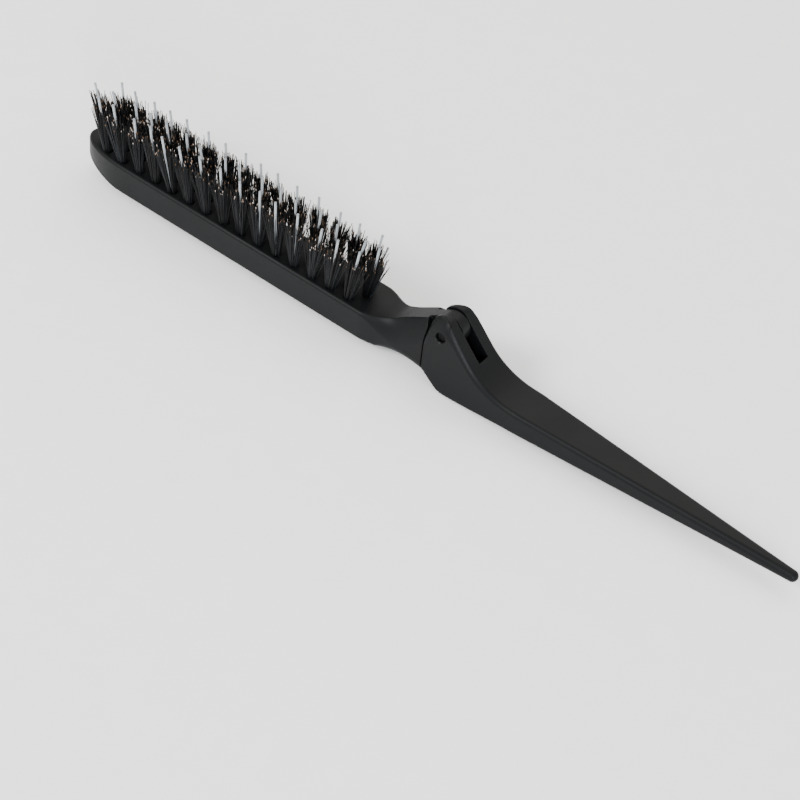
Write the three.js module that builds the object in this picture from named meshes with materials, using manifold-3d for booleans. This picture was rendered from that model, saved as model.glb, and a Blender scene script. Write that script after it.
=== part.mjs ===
// Folding teasing brush: a narrow brush head and a rat-tail handle that turn on one hinge pin.
// Millimetres, +Z up. The brush lies on its back: bristles up, tail along +X.
// The profile is drawn with x = 0 at the hinge pin; the last lines centre it on the origin.

import * as THREE from 'three';
import { mergeVertices } from 'three/addons/utils/BufferGeometryUtils.js';
import Module from 'manifold-3d';

const wasm = await Module();
wasm.setup();

// Hinge
const PIVOT_HEIGHT = 17.1; // pin centre above the flat back of the head
const EAR_RADIUS = 5.0; // round top of the fork's two ears
const EAR_BACK = 3.6; // behind the pin, that round reaches only this far
const EAR_EDGE = 2.8; // rounding of the ears' outer edges
const KNUCKLE_RADIUS = 4.4; // round end of the head's tongue between the ears
const KNUCKLE_END = 125; // degrees below level where that round meets the tongue's underside
const JOINT_HALF_WIDTH = 6.3; // half the width across the ears
const TONGUE_WIDTH = 3.4;
const PIN_RADIUS = 1.5;
const PIN_EDGE = 0.3; // bevel around each end of the pin
const PIN_RECESS = 0.75; // how far each pin end lies inside the ear's side
const RUNNING_GAP = 0.3; // clearance of every fit that turns or closes
const SEAM_FOOT = -4.1; // where the handle's closing face meets its back
const SEAM_TOP = -4.9; // and where it stands at the height of the pin
const FOLD_ANGLE = 172; // degrees from open to folded over the bristles
const SLOT_DEPTH = 8.4; // floor of the fork's slot below the pin centre
const SLOT_LENGTH = 10.9; // end of the slot behind the pin centre
const SLOT_CORNER = 1.2; // bevel between the slot's floor and end

// Brush head
const HEAD_REACH = 128.3; // pin centre to the free end
const HEAD_THICKNESS = 10.4;
const HEAD_HALF_WIDTH = 7.3; // at the bristle face
const BACK_HALF_WIDTH = 6.7; // the sides lean in towards the back
const HEAD_EDGE = 1.0; // rounding of the bristle face's edges
const BACK_EDGE = 1.3; // rounding of the back's edges
const NOSE_LENGTH = 18.3; // the part of the head that is rounded off in plan
const NOSE_POWER = 2.25; // how square the rounded end is in plan
const NOSE_LIFT = 3.4; // how far the back rises at the free end
const NOSE_LIFT_LENGTH = 14.3;
const NECK_START = 26; // from here to the pin the head narrows to the hinge
const NECK_NARROW = 17; // here the neck has the hinge's width
const NECK_WAIST = 12; // from here to the pin the neck's edges are rounded as at the hinge
const NECK_HOLLOW = 2.1; // the back is hollowed by this much at the neck
const HOLLOW_PLACE = 10; // deepest place of that hollow, in front of the pin
const HOLLOW_SPAN = 10; // it runs out over this length to each side
const NECK_EDGE = 3.6; // large rounding of the bristle side at the hinge
const NECK_BEVEL = 1.65; // shape of that rounding: 1 is round, 2 is a flat bevel
const NECK_BACK_EDGE = 3.0; // large rounding of the back at the hinge
const NECK_SLOPE = 33; // degrees that the neck's bristle side rises to the knuckle
const NECK_BLEND = 12; // radius between the bristle face and the rising neck

// Tail handle
const TAIL_REACH = 110.9; // pin centre to the tip
const TAIL_TIP_RADIUS = 1.6; // the round end of the rat tail
const TAIL_TOP_ROOT = 6.75; // bristle side of the bar where the ears have run out
const TAIL_TIP_HEIGHT = 2.9; // middle of the round end above the head's back
const TAIL_TAPER_START = 27; // from here the bar narrows evenly to the tip
const TAIL_EDGE = 1.3; // rounding of the bar's edges near the ears
const HEEL_PLACE = 3.0; // the heel is the lowest point of the handle's back
const HEEL_DROP = 2.2; // the heel lies this much lower than the head's back
const HEEL_SPAN = 26; // behind the heel its bulge runs out over this length
const BAR_DROP = 1.05; // the bar's straight back, drawn on to the heel, lies this much lower
const HEEL_RISE = 3.5; // the back rises this much from the heel to the seam
const HEEL_POWER = 1.5; // how late that rise sets in
const EAR_SLOPE = 46; // degrees that the back of the ears leans
const EAR_BLEND = 22; // radius between that slope and the bar

// Bristles
const ROW_SIDES = [-1, 0, 1];
const ROW_NAMES = ['bristle_row_right', 'bristle_row_middle', 'bristle_row_left'];
const TUFT_PITCH = 6.22;
const NECK_MARGIN = 5.4; // start of the neck to the first tuft of the outer rows
const NOSE_MARGIN = 9.5; // least distance of the outer rows' last tuft to the free end
const ROW_SPACING = 4.7;
const ROW_MARGIN = 2.55; // least distance of a tuft's centre to the head's edge
const FAN_NECK = 6; // degrees that the tufts next to the neck lean towards the hinge
const FAN_NOSE = 14; // degrees that the tufts at the nose lean towards the free end
const BOAR_LENGTH = 14.2;
const BOAR_SPREAD = 0.13; // how uneven the boar tips are, as a share of their length
const BOAR_RADIUS = 0.2;
const BOAR_COUNT = 9; // boar strands in a tuft
const BOAR_SIDES = 3;
const QUILL_LENGTH = 18.2;
const QUILL_RADIUS = 0.3;
const QUILL_SIDES = 4;
const TUFT_ROOT_RADIUS = 0.72; // ring on which a tuft's strands leave the head
const TUFT_TIP_RADIUS = 2.5; // ring that their tips reach
const TIP_SCATTER = 0.25; // how far some tips stay inside that ring, as a share of it
const STRAND_TAPER = 0.6; // a strand's radius at the tip as a share of that at the root
const SCATTER_SEED = 97;
const SCATTER_STEP = 31; // from one row's seed to the next
const BACKING_WIDTH = 2.5; // slice of the head's face that the strands are fused to
const BACKING_DEPTH = 1.2;
const BACKING_END = 1.5; // length of the slice past its last tuft

// Tuft anchors: flat wire staples at the bottom of each tuft's hole
const ANCHOR_WIDTH = 2.2;
const ANCHOR_THICKNESS = 0.5;
const ANCHOR_HEIGHT = 1.6;

// Fineness of the facets
const CORNER_STEPS = 5; // facets of a ring's rounded corner
const KNUCKLE_STEPS = 32;
const NOSE_STEPS = 9;
const NECK_STEPS = 8;
const THROAT_STEPS = 7; // from the narrow neck to the pin
const EAR_FRONT_STEPS = 9;
const EAR_BACK_STEPS = 5;
const SLOPE_STEPS = 3; // straight stretches of the ears' back
const BLEND_STEPS = 9;
const TAIL_STEPS = 8;
const TIP_STEPS = 6;
const PIN_SIDES = 28;
const SWEEP_SIDES = 48; // of the room cut for the ears' round
const END_FLAT = 0.1; // the round ends stop this short of their pole
const ROUNDING_OF_WIDTH = 0.9; // a rounding takes at most this share of half its ring's width
const ROUNDING_OF_HEIGHT = 0.48; // and this share of its ring's height

const radians = THREE.MathUtils.degToRad;
const seamSlope = (SEAM_TOP - SEAM_FOOT) / PIVOT_HEIGHT;

// Materials
const softTouch = { color: 0x313335, roughness: 0.62, metalness: 0.0 };
const steel = { color: 0x5b5d60, roughness: 0.35, metalness: 1.0 };
const boar = { color: 0x15120f, roughness: 0.5, metalness: 0.0 };

// Solids for joining and cutting
function toSolid(geometry) {
  const bare = geometry.clone();
  bare.deleteAttribute('normal');
  bare.deleteAttribute('uv');
  const merged = mergeVertices(bare, 1e-5);
  return new wasm.Manifold(
    new wasm.Mesh({
      numProp: 3,
      vertProperties: new Float32Array(merged.attributes.position.array),
      triVerts: new Uint32Array(merged.index.array),
    }),
  );
}

function toGeometry(solid) {
  const mesh = solid.getMesh();
  const geometry = new THREE.BufferGeometry();
  geometry.setAttribute('position', new THREE.BufferAttribute(mesh.vertProperties, 3));
  geometry.setIndex(new THREE.BufferAttribute(mesh.triVerts, 1));
  geometry.computeVertexNormals();
  return geometry;
}

// A plate: an outline in x and z, as thick as "width" across the brush and centred on y
function sidePlate(outline, width) {
  const shape = new THREE.Shape(outline.map(([x, z]) => new THREE.Vector2(x, z)));
  const geometry = new THREE.ExtrudeGeometry(shape, { depth: width, bevelEnabled: false });
  geometry.rotateX(Math.PI / 2);
  geometry.translate(0, width / 2, 0);
  return toSolid(geometry);
}

// A plate seen in plan: an outline in x and y, from height "bottom" up to "top"
function planPlate(outline, bottom, top) {
  const shape = new THREE.Shape(outline.map(([x, y]) => new THREE.Vector2(x, y)));
  const geometry = new THREE.ExtrudeGeometry(shape, { depth: top - bottom, bevelEnabled: false });
  geometry.translate(0, 0, bottom);
  return toSolid(geometry);
}

// One ring of a body: a rounded trapezoid across the brush
function ring({ x, back, top, backHalf, topHalf, backEdge, topEdge, topBevel = 1 }) {
  const height = top - back;
  const topR = Math.min(topEdge, ROUNDING_OF_WIDTH * topHalf, ROUNDING_OF_HEIGHT * height);
  const backR = Math.min(backEdge, ROUNDING_OF_WIDTH * backHalf, ROUNDING_OF_HEIGHT * height);
  const corners = [
    [backHalf - backR, back + backR, backR, 1],
    [topHalf - topR, top - topR, topR, topBevel],
    [-(topHalf - topR), top - topR, topR, topBevel],
    [-(backHalf - backR), back + backR, backR, 1],
  ];
  const points = [];
  for (const [quarter, [cy, cz, r, power]] of corners.entries()) {
    for (let i = 0; i <= CORNER_STEPS; i++) {
      const a = (Math.PI / 2) * (quarter - 1 + i / CORNER_STEPS);
      const across = Math.sign(Math.cos(a)) * Math.abs(Math.cos(a)) ** power;
      const up = Math.sign(Math.sin(a)) * Math.abs(Math.sin(a)) ** power;
      points.push([x, cy + r * across, cz + r * up]);
    }
  }
  return points;
}

// A closed body skinned over rings that follow each other along +X
function loft(rings) {
  const count = rings[0].length;
  const positions = rings.flat(2);
  const index = [];
  for (let i = 0; i + 1 < rings.length; i++) {
    for (let j = 0; j < count; j++) {
      const a = i * count + j;
      const b = i * count + ((j + 1) % count);
      index.push(a, b, a + count, b, b + count, a + count);
    }
  }
  for (const [first, turn] of [[0, -1], [(rings.length - 1) * count, 1]]) {
    const ringPoints = rings[first / count];
    const centre = positions.length / 3;
    const mean = (k) => ringPoints.reduce((sum, p) => sum + p[k], 0) / count;
    positions.push(mean(0), mean(1), mean(2));
    for (let j = 0; j < count; j++) {
      const a = first + j;
      const b = first + ((j + 1) % count);
      index.push(centre, turn > 0 ? a : b, turn > 0 ? b : a);
    }
  }
  const geometry = new THREE.BufferGeometry();
  geometry.setAttribute('position', new THREE.Float32BufferAttribute(positions, 3));
  geometry.setIndex(index);
  return toSolid(geometry);
}

const smooth = (t) => t * t * (3 - 2 * t);
const ramp = (x, from, to) => smooth(THREE.MathUtils.clamp((x - from) / (to - from), 0, 1));

// Head: plan, back and bristle side along x
function headHalf(x) {
  const into = Math.max(0, -x - (HEAD_REACH - NOSE_LENGTH)) / NOSE_LENGTH;
  const nose = Math.sqrt(Math.max(0, 1 - into ** NOSE_POWER));
  const neck = ramp(x, -NECK_START, -NECK_NARROW);
  return THREE.MathUtils.lerp(HEAD_HALF_WIDTH, JOINT_HALF_WIDTH, neck) * nose;
}

function headBack(x) {
  const past = Math.max(0, -x - (HEAD_REACH - NOSE_LIFT_LENGTH));
  const noseRadius = (NOSE_LIFT_LENGTH ** 2 + NOSE_LIFT ** 2) / (2 * NOSE_LIFT);
  const nose = noseRadius - Math.sqrt(noseRadius ** 2 - past ** 2);
  const hollow = Math.max(0, NECK_HOLLOW * (1 - ((x + HOLLOW_PLACE) / HOLLOW_SPAN) ** 2));
  return nose + hollow;
}

// The neck rises as a straight slope that ends tangent to the knuckle
const neckTurn = radians(NECK_SLOPE);
const touchX = -KNUCKLE_RADIUS * Math.sin(neckTurn);
const touchZ = PIVOT_HEIGHT + KNUCKLE_RADIUS * Math.cos(neckTurn);
const slopeZ = (x) => touchZ + (x - touchX) * Math.tan(neckTurn);
const slopeRun = (touchZ - HEAD_THICKNESS) / Math.tan(neckTurn);
const blendStart = touchX - slopeRun - NECK_BLEND * Math.tan(neckTurn / 2);
const blendEnd = blendStart + NECK_BLEND * Math.sin(neckTurn);

function headTop(x) {
  if (x <= blendStart) return HEAD_THICKNESS;
  if (x >= blendEnd) return slopeZ(x);
  return HEAD_THICKNESS + NECK_BLEND - Math.sqrt(NECK_BLEND ** 2 - (x - blendStart) ** 2);
}

function headRing(x) {
  const neck = ramp(x, -NECK_START, -NECK_WAIST);
  const half = headHalf(x);
  const lean = THREE.MathUtils.lerp(BACK_HALF_WIDTH / HEAD_HALF_WIDTH, 1, neck);
  return ring({
    x,
    back: headBack(x),
    top: headTop(x),
    backHalf: half * lean,
    topHalf: half,
    backEdge: THREE.MathUtils.lerp(BACK_EDGE, NECK_BACK_EDGE, neck),
    topEdge: THREE.MathUtils.lerp(HEAD_EDGE, NECK_EDGE, neck),
    topBevel: THREE.MathUtils.lerp(1, NECK_BEVEL, neck),
  });
}

// Handle: plan, back and bristle side along x
const earTurn = radians(EAR_SLOPE);
const earShare = (EAR_BACK * Math.tan(earTurn)) / EAR_RADIUS;
const earSpan = Math.hypot(1, earShare);
const earEnd = [(EAR_BACK * earShare) / earSpan, PIVOT_HEIGHT + EAR_RADIUS / earSpan];
const sweepTop = TAIL_TOP_ROOT + EAR_BLEND * (1 - Math.cos(earTurn));
const sweepStart = earEnd[0] + (earEnd[1] - sweepTop) / Math.tan(earTurn);
const sweepEnd = sweepStart + EAR_BLEND * Math.sin(earTurn);
const tipStart = TAIL_REACH - TAIL_TIP_RADIUS;

function handleTop(x) {
  if (x <= -EAR_RADIUS) return PIVOT_HEIGHT;
  const reach = x < 0 ? EAR_RADIUS : EAR_BACK;
  if (x <= earEnd[0]) return PIVOT_HEIGHT + EAR_RADIUS * Math.sqrt(1 - (x / reach) ** 2);
  if (x <= sweepStart) return earEnd[1] - (x - earEnd[0]) * Math.tan(earTurn);
  if (x <= sweepEnd) {
    return TAIL_TOP_ROOT + EAR_BLEND - Math.sqrt(EAR_BLEND ** 2 - (sweepEnd - x) ** 2);
  }
  const along = Math.min(1, (x - sweepEnd) / (tipStart - sweepEnd));
  return THREE.MathUtils.lerp(TAIL_TOP_ROOT, TAIL_TIP_HEIGHT + TAIL_TIP_RADIUS, along);
}

function handleBack(x) {
  if (x < HEEL_PLACE) {
    const along = Math.min(1, (HEEL_PLACE - x) / (HEEL_PLACE - SEAM_FOOT));
    return HEEL_RISE * along ** HEEL_POWER - HEEL_DROP;
  }
  const along = Math.min(1, (x - HEEL_PLACE) / (tipStart - HEEL_PLACE));
  const straight = THREE.MathUtils.lerp(-BAR_DROP, TAIL_TIP_HEIGHT - TAIL_TIP_RADIUS, along);
  return straight - (HEEL_DROP - BAR_DROP) * (1 - ramp(x, HEEL_PLACE, HEEL_PLACE + HEEL_SPAN));
}

function handleHalf(x) {
  const along = THREE.MathUtils.clamp((x - TAIL_TAPER_START) / (tipStart - TAIL_TAPER_START), 0, 1);
  return THREE.MathUtils.lerp(JOINT_HALF_WIDTH, TAIL_TIP_RADIUS, along);
}

function handleRing(x) {
  const intoTip = Math.max(0, x - tipStart) / TAIL_TIP_RADIUS;
  const round = Math.sqrt(Math.max(0, 1 - intoTip ** 2));
  const middle = (handleTop(x) + handleBack(x)) / 2;
  const halfHeight = ((handleTop(x) - handleBack(x)) / 2) * round;
  const half = handleHalf(x) * round;
  const bar = ramp(x, earEnd[0], sweepEnd);
  const heel = ramp(x, SEAM_FOOT, HEEL_PLACE);
  const tail = ramp(x, TAIL_TAPER_START, tipStart);
  const barEdge = THREE.MathUtils.lerp(TAIL_EDGE, TAIL_TIP_RADIUS, tail);
  return ring({
    x,
    back: middle - halfHeight,
    top: middle + halfHeight,
    backHalf: half,
    topHalf: half,
    backEdge: THREE.MathUtils.lerp(NECK_BACK_EDGE, barEdge, heel),
    topEdge: THREE.MathUtils.lerp(EAR_EDGE, barEdge, bar),
  });
}

// Places along x after "from" and up to "to": even steps, and finer ones towards one end
function stations(from, to, steps, ease) {
  return Array.from({ length: steps }, (_, i) => from + (to - from) * ease((i + 1) / steps));
}

const even = (t) => t;
const fineEnd = (t) => Math.sin((Math.PI / 2) * t);
const fineStart = (t) => 1 - Math.cos((Math.PI / 2) * t);

// A block that is wider than the brush and has one face across it, seen from the side as a line
// through "point" that runs along "along"; the block lies to the left of that line
function sideBlock(point, along) {
  const size = TAIL_REACH + HEAD_REACH;
  const run = along.clone().setLength(size);
  const left = new THREE.Vector2(-run.y, run.x);
  const corners = [
    point.clone().sub(run),
    point.clone().add(run),
    point.clone().add(run).add(left),
    point.clone().sub(run).add(left),
  ];
  return sidePlate(corners.map((corner) => [corner.x, corner.y]), size);
}

// The seam is a slanted face that closes the handle against the head
const seamPoint = new THREE.Vector2(SEAM_FOOT, 0);
const seamRun = new THREE.Vector2(SEAM_TOP - SEAM_FOOT, PIVOT_HEIGHT);
const beforeSeam = () => sideBlock(seamPoint, seamRun);
const pastSeam = () => sideBlock(seamPoint.clone().setX(SEAM_FOOT - RUNNING_GAP), seamRun.clone().negate());

// The folded handle comes to rest with the back of its ears along this face of the head's shoulders
function shoulderRelief() {
  const turn = radians(FOLD_ANGLE + 90 - EAR_SLOPE);
  const out = new THREE.Vector2(Math.cos(turn), Math.sin(turn));
  const pivot = new THREE.Vector2(0, PIVOT_HEIGHT);
  const slope = new THREE.Vector2(Math.sin(earTurn), Math.cos(earTurn));
  const reach = slope.dot(new THREE.Vector2(earEnd[0], earEnd[1] - PIVOT_HEIGHT));
  const point = pivot.addScaledVector(out, reach + RUNNING_GAP);
  return sideBlock(point, new THREE.Vector2(-out.y, out.x));
}

// Room for the round of the ears as the handle turns
function earSweep() {
  const radius = EAR_RADIUS + RUNNING_GAP;
  const sweep = new THREE.CylinderGeometry(radius, radius, 4 * JOINT_HALF_WIDTH, SWEEP_SIDES);
  sweep.translate(0, 0, PIVOT_HEIGHT);
  return toSolid(sweep);
}

// Tufts: as many as fit; the middle row starts half a pitch nearer the pin and has one more
const firstTuft = NECK_START + NECK_MARGIN;
const outerTufts = 1 + Math.floor((HEAD_REACH - NOSE_MARGIN - firstTuft) / TUFT_PITCH);

function rowY(x, side) {
  return side * Math.min(ROW_SPACING, headHalf(x) - ROW_MARGIN);
}

function tuftPlaces(side) {
  const count = side === 0 ? outerTufts + 1 : outerTufts;
  const first = side === 0 ? firstTuft - TUFT_PITCH / 2 : firstTuft;
  return Array.from({ length: count }, (_, i) => {
    const x = -(first + i * TUFT_PITCH);
    return { x, y: rowY(x, side) };
  });
}

// The tufts fan out along the head; this is a tuft's lean, as a run in x for each unit of height
function tuftLean(x) {
  const share = (-x - firstTuft) / ((outerTufts - 1) * TUFT_PITCH);
  return Math.tan(radians(THREE.MathUtils.lerp(FAN_NECK, -FAN_NOSE, share)));
}

// Plan outline of a row's backing slice; with a clearance, of the groove that it lies in
function rowOutline(side, clearance) {
  const half = BACKING_WIDTH / 2 + clearance;
  const past = BACKING_END + clearance;
  const places = tuftPlaces(side);
  const last = places.at(-1);
  const path = [{ x: places[0].x + past, y: places[0].y }, ...places, { x: last.x - past, y: last.y }];
  const near = path.map(({ x, y }) => [x, y - half]);
  const far = path.map(({ x, y }) => [x, y + half]);
  return [...far, ...near.reverse()];
}

// Repeatable scatter: a linear congruential generator, the same numbers on each run
const GENERATOR_FACTOR = 16807;
const GENERATOR_MODULUS = 2147483647;

function scatter(seed) {
  let state = seed;
  return () => {
    state = (state * GENERATOR_FACTOR) % GENERATOR_MODULUS;
    return state / GENERATOR_MODULUS;
  };
}

// A straight strand of three or four sides from its root to its tip
function strandParts(root, tip, radius, sides, positions, index) {
  const axis = tip.clone().sub(root).normalize();
  const u = new THREE.Vector3(0, 1, 0).cross(axis).normalize();
  const v = axis.clone().cross(u);
  const start = positions.length / 3;
  for (const [place, r] of [[root, radius], [tip, radius * STRAND_TAPER]]) {
    for (let k = 0; k < sides; k++) {
      const a = (2 * Math.PI * k) / sides;
      const p = place.clone().addScaledVector(u, r * Math.cos(a)).addScaledVector(v, r * Math.sin(a));
      positions.push(p.x, p.y, p.z);
    }
  }
  for (let k = 0; k < sides; k++) {
    const a = start + k;
    const b = start + ((k + 1) % sides);
    index.push(a, b, a + sides, b, b + sides, a + sides);
  }
  for (let k = 1; k + 1 < sides; k++) {
    index.push(start, start + k + 1, start + k);
    index.push(start + sides, start + sides + k, start + sides + k + 1);
  }
}

function bristleRow(side) {
  const random = scatter(SCATTER_SEED + side * SCATTER_STEP);
  const positions = [];
  const index = [];
  const rootZ = HEAD_THICKNESS - BACKING_DEPTH / 2;
  for (const { x, y } of tuftPlaces(side)) {
    const lean = tuftLean(x);
    const start = random() * Math.PI;
    for (let k = 0; k < BOAR_COUNT; k++) {
      const angle = start + (2 * Math.PI * k) / BOAR_COUNT;
      const length = BOAR_LENGTH * (1 - BOAR_SPREAD + 2 * BOAR_SPREAD * random());
      const flare = TUFT_TIP_RADIUS * (1 - TIP_SCATTER * random());
      const dx = Math.cos(angle);
      const dy = Math.sin(angle);
      const root = new THREE.Vector3(x + TUFT_ROOT_RADIUS * dx, y + TUFT_ROOT_RADIUS * dy, rootZ);
      const tipX = x + flare * dx + lean * length;
      const tip = new THREE.Vector3(tipX, y + flare * dy, HEAD_THICKNESS + length);
      strandParts(root, tip, BOAR_RADIUS, BOAR_SIDES, positions, index);
    }
    const root = new THREE.Vector3(x, y, rootZ);
    const tip = new THREE.Vector3(x + lean * QUILL_LENGTH, y, HEAD_THICKNESS + QUILL_LENGTH);
    strandParts(root, tip, QUILL_RADIUS, QUILL_SIDES, positions, index);
  }
  const strands = new THREE.BufferGeometry();
  strands.setAttribute('position', new THREE.Float32BufferAttribute(positions, 3));
  strands.setIndex(index);
  const backing = planPlate(rowOutline(side, 0), HEAD_THICKNESS - BACKING_DEPTH, HEAD_THICKNESS);
  return toGeometry(backing.add(toSolid(strands)));
}

// Anchors stand on edge across the brush, below their tuft
const anchorMiddle = HEAD_THICKNESS - BACKING_DEPTH - RUNNING_GAP - ANCHOR_HEIGHT / 2;

function anchorBlock(clearance) {
  const grow = 2 * clearance;
  return new THREE.BoxGeometry(ANCHOR_THICKNESS + grow, ANCHOR_WIDTH + grow, ANCHOR_HEIGHT + grow);
}

function brushHead() {
  const noseStart = -(HEAD_REACH - NOSE_LENGTH);
  const tip = -HEAD_REACH + END_FLAT;
  const xs = [
    tip,
    ...stations(tip, noseStart, NOSE_STEPS, fineStart),
    -NECK_START,
    ...stations(-NECK_START, -NECK_NARROW, NECK_STEPS, even),
    ...stations(-NECK_NARROW, 0, THROAT_STEPS, even),
  ];
  const blank = loft(xs.map(headRing)).subtract(pastSeam());
  const body = blank.subtract(shoulderRelief()).subtract(earSweep());
  let head = body.add(tongue());
  for (const side of ROW_SIDES) {
    const bottom = HEAD_THICKNESS - BACKING_DEPTH - RUNNING_GAP;
    const groove = rowOutline(side, RUNNING_GAP);
    head = head.subtract(planPlate(groove, bottom, HEAD_THICKNESS + BACKING_DEPTH));
    for (const { x, y } of tuftPlaces(side)) {
      const pocket = anchorBlock(RUNNING_GAP);
      pocket.translate(x, y, anchorMiddle);
      head = head.subtract(toSolid(pocket));
    }
  }
  return toGeometry(head.subtract(pinBore()));
}

// The tongue fills the middle of the neck and ends in the round knuckle
function tongue() {
  const rootX = -NECK_WAIST;
  const low = PIVOT_HEIGHT - SLOT_DEPTH + 2 * RUNNING_GAP;
  const knuckle = Array.from({ length: KNUCKLE_STEPS + 1 }, (_, i) => {
    const a = THREE.MathUtils.lerp(Math.PI / 2 + neckTurn, -radians(KNUCKLE_END), i / KNUCKLE_STEPS);
    return [KNUCKLE_RADIUS * Math.cos(a), PIVOT_HEIGHT + KNUCKLE_RADIUS * Math.sin(a)];
  });
  return sidePlate([[rootX, slopeZ(rootX)], ...knuckle, [SEAM_TOP, low], [rootX, low]], TONGUE_WIDTH);
}

function pinBore() {
  const radius = PIN_RADIUS + RUNNING_GAP;
  const bore = new THREE.CylinderGeometry(radius, radius, 4 * JOINT_HALF_WIDTH, PIN_SIDES);
  bore.translate(0, 0, PIVOT_HEIGHT);
  return toSolid(bore);
}

function tailHandle() {
  const xs = [
    -EAR_RADIUS - RUNNING_GAP,
    -EAR_RADIUS,
    ...stations(-EAR_RADIUS, 0, EAR_FRONT_STEPS, fineStart),
    ...stations(0, earEnd[0], EAR_BACK_STEPS, even),
    ...stations(earEnd[0], sweepStart, SLOPE_STEPS, even),
    ...stations(sweepStart, sweepEnd, BLEND_STEPS, even),
    ...stations(sweepEnd, tipStart, TAIL_STEPS, even),
    ...stations(tipStart, TAIL_REACH - END_FLAT, TIP_STEPS, fineEnd),
  ];
  const body = loft(xs.map(handleRing)).subtract(beforeSeam());
  const floor = PIVOT_HEIGHT - SLOT_DEPTH;
  const open = PIVOT_HEIGHT + 2 * EAR_RADIUS;
  const slot = sidePlate([
    [-SLOT_LENGTH, floor],
    [SLOT_LENGTH - SLOT_CORNER, floor],
    [SLOT_LENGTH, floor + SLOT_CORNER],
    [SLOT_LENGTH, open],
    [-SLOT_LENGTH, open],
  ], TONGUE_WIDTH + 2 * RUNNING_GAP);
  return toGeometry(body.subtract(slot).subtract(pinBore()));
}

function hingePin() {
  const end = JOINT_HALF_WIDTH - PIN_RECESS;
  const profile = [
    [0, -end],
    [PIN_RADIUS - PIN_EDGE, -end],
    [PIN_RADIUS, -end + PIN_EDGE],
    [PIN_RADIUS, end - PIN_EDGE],
    [PIN_RADIUS - PIN_EDGE, end],
    [0, end],
  ];
  return new THREE.LatheGeometry(profile.map(([r, y]) => new THREE.Vector2(r, y)), PIN_SIDES);
}

// The brush
const brush = new THREE.Group();

function place(name, geometry, look, parent, position = [0, 0, 0]) {
  const mesh = new THREE.Mesh(geometry, new THREE.MeshStandardMaterial(look));
  mesh.name = name;
  mesh.position.set(...position);
  parent.add(mesh);
  return mesh;
}

place('brush_head', brushHead(), softTouch, brush);
place('tail_handle', tailHandle(), softTouch, brush);
place('hinge_pin', hingePin(), steel, brush, [0, 0, PIVOT_HEIGHT]);

let anchorNumber = 0;
for (const side of ROW_SIDES) {
  place(ROW_NAMES[side + 1], bristleRow(side), boar, brush);
  for (const { x, y } of tuftPlaces(side)) {
    anchorNumber += 1;
    const label = String(anchorNumber).padStart(2, '0');
    place(`tuft_anchor_${label}`, anchorBlock(0), steel, brush, [x, y, anchorMiddle]);
  }
}

// Origin below the middle of the brush's length, at the height of the heel
brush.position.set((HEAD_REACH - TAIL_REACH) / 2, 0, HEEL_DROP);

export default brush;
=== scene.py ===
# %% [markdown]
# # Folding teasing brush
# The brush has a narrow head with three rows of bristle tufts, and a rat-tail handle that folds over
# them on one hinge pin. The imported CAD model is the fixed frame: it says where each solid is and what
# moves. This script dresses it: finer bodies, bristles strand by strand, and finishes.
# It lies on its back on a pale floor, and the camera stands where the photographer stood.

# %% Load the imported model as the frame
import math
import random
from contextlib import contextmanager

import bmesh
import bpy
from mathutils import Matrix, Vector


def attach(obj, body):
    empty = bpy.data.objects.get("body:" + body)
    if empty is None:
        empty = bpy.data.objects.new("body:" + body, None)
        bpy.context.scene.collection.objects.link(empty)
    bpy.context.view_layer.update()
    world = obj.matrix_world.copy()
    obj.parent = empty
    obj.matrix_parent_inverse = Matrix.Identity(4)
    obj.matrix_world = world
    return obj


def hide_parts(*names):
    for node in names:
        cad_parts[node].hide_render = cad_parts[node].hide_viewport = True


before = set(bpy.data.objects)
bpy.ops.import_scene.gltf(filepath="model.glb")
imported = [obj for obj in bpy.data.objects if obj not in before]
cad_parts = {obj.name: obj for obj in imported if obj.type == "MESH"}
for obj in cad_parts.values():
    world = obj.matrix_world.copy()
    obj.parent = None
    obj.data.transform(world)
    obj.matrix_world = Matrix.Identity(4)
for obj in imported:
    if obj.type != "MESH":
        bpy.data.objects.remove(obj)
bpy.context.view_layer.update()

MM = 0.001
PIN_PLACE = Vector((8.7, 0.0, 2.2)) * MM  # sizes and places count from the hinge pin and the head's back


def place(x, y, z):
    """A point in millimetres from the hinge pin and the head's back, as a point of the frame in metres."""
    return Vector((x, y, z)) * MM + PIN_PLACE


def in_scene(name, data):
    """A new object in the scene for a mesh, a lamp or a camera."""
    made = bpy.data.objects.new(name, data)
    bpy.context.scene.collection.objects.link(made)
    return made


# %% [markdown]
# ## Camera
# The camera was worked out from the photo: the edges of the head, the tips of the quills and the pin's
# hole were matched to a model of the brush. A long lens from half a metre gives the photo's flat
# perspective. Its axes are written as vectors, so no angle has to be guessed.

# %% Camera at the photo's viewing angle
CAMERA_PLACE = Vector((219.58, -387.88, 425.53)) * MM
CAMERA_FORWARD = Vector((-0.3546, 0.6161, -0.7033))
CAMERA_RIGHT = Vector((0.7937, 0.5959, 0.1219))
CAMERA_LENS = 101.5  # millimetres, on a 36 mm sensor
CAMERA_RANGE = (0.01, 20.0)  # metres: the nearest and the farthest that it sees

back = -CAMERA_FORWARD.normalized()
right = (CAMERA_RIGHT - CAMERA_RIGHT.dot(back) * back).normalized()
up = back.cross(right)
camera_data = bpy.data.cameras.new("photo_camera")
camera_data.lens = CAMERA_LENS
camera_data.clip_start, camera_data.clip_end = CAMERA_RANGE
camera = in_scene("photo_camera", camera_data)
camera.matrix_world = Matrix.Translation(CAMERA_PLACE) @ Matrix((right, up, back)).transposed().to_4x4()
bpy.context.scene.camera = camera
print("camera at", [round(v / MM, 1) for v in CAMERA_PLACE], "mm")

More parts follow.
